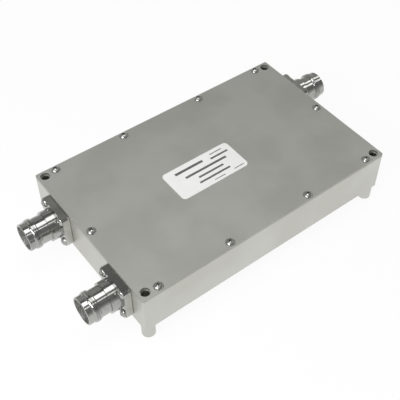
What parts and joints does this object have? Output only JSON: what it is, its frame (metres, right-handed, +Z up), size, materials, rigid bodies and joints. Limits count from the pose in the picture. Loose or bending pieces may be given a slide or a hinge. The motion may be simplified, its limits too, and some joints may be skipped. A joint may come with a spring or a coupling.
{
  "type": "rf diplexer",
  "caption": "Flat rectangular cavity diplexer with a milled metal housing, screwed lid, corner feet and threaded coaxial jacks on its short sides.",
  "frame": {"origin": "centre of the base, on the plane of the four feet", "axes": "+X towards the common jack, +Y towards the side nearest to the lower band jack, +Z up through the lid"},
  "size_m": [0.2464, 0.1216, 0.0435],
  "materials": {
    "plated_housing": "silver plated, satin",
    "plated_lid": "silver plated, satin",
    "plated_cover": "silver plated, satin",
    "plated_jack": "white bronze plated, bright",
    "plated_post": "silver plated",
    "plated_conductor": "silver plated",
    "tuner_brass": "turned, plain",
    "screw_steel": "nickel plated, bright",
    "insulator_plastic": "smooth, white",
    "label_film": "matte film, white"
  },
  "bodies": {
    "root": {"common_jack_contact": "plated_conductor", "common_jack_insulator": "insulator_plastic", "common_jack_shell": "plated_jack", "common_line": "plated_conductor", "common_line_bead": "insulator_plastic", "flange_screws": "screw_steel", "high_band_jack_contact": "plated_conductor", "high_band_jack_insulator": "insulator_plastic", "high_band_jack_shell": "plated_jack", "high_band_post_1": "plated_post", "high_band_post_2": "plated_post", "high_band_post_3": "plated_post", "high_band_post_4": "plated_post", "high_band_post_5": "plated_post", "high_band_post_6": "plated_post", "high_band_tap": "plated_conductor", "housing": "plated_housing", "label": "label_film", "lid": "plated_lid", "lid_screws": "screw_steel", "low_band_jack_contact": "plated_conductor", "low_band_jack_insulator": "insulator_plastic", "low_band_jack_shell": "plated_jack", "low_band_post_1": "plated_post", "low_band_post_2": "plated_post", "low_band_post_3": "plated_post", "low_band_post_4": "plated_post", "low_band_post_5": "plated_post", "low_band_tap": "plated_conductor", "tuning_cover": "plated_cover", "tuning_cover_screws": "screw_steel", "tuning_nuts": "tuner_brass", "tuning_screws": "tuner_brass"}
  },
  "joints": []
}
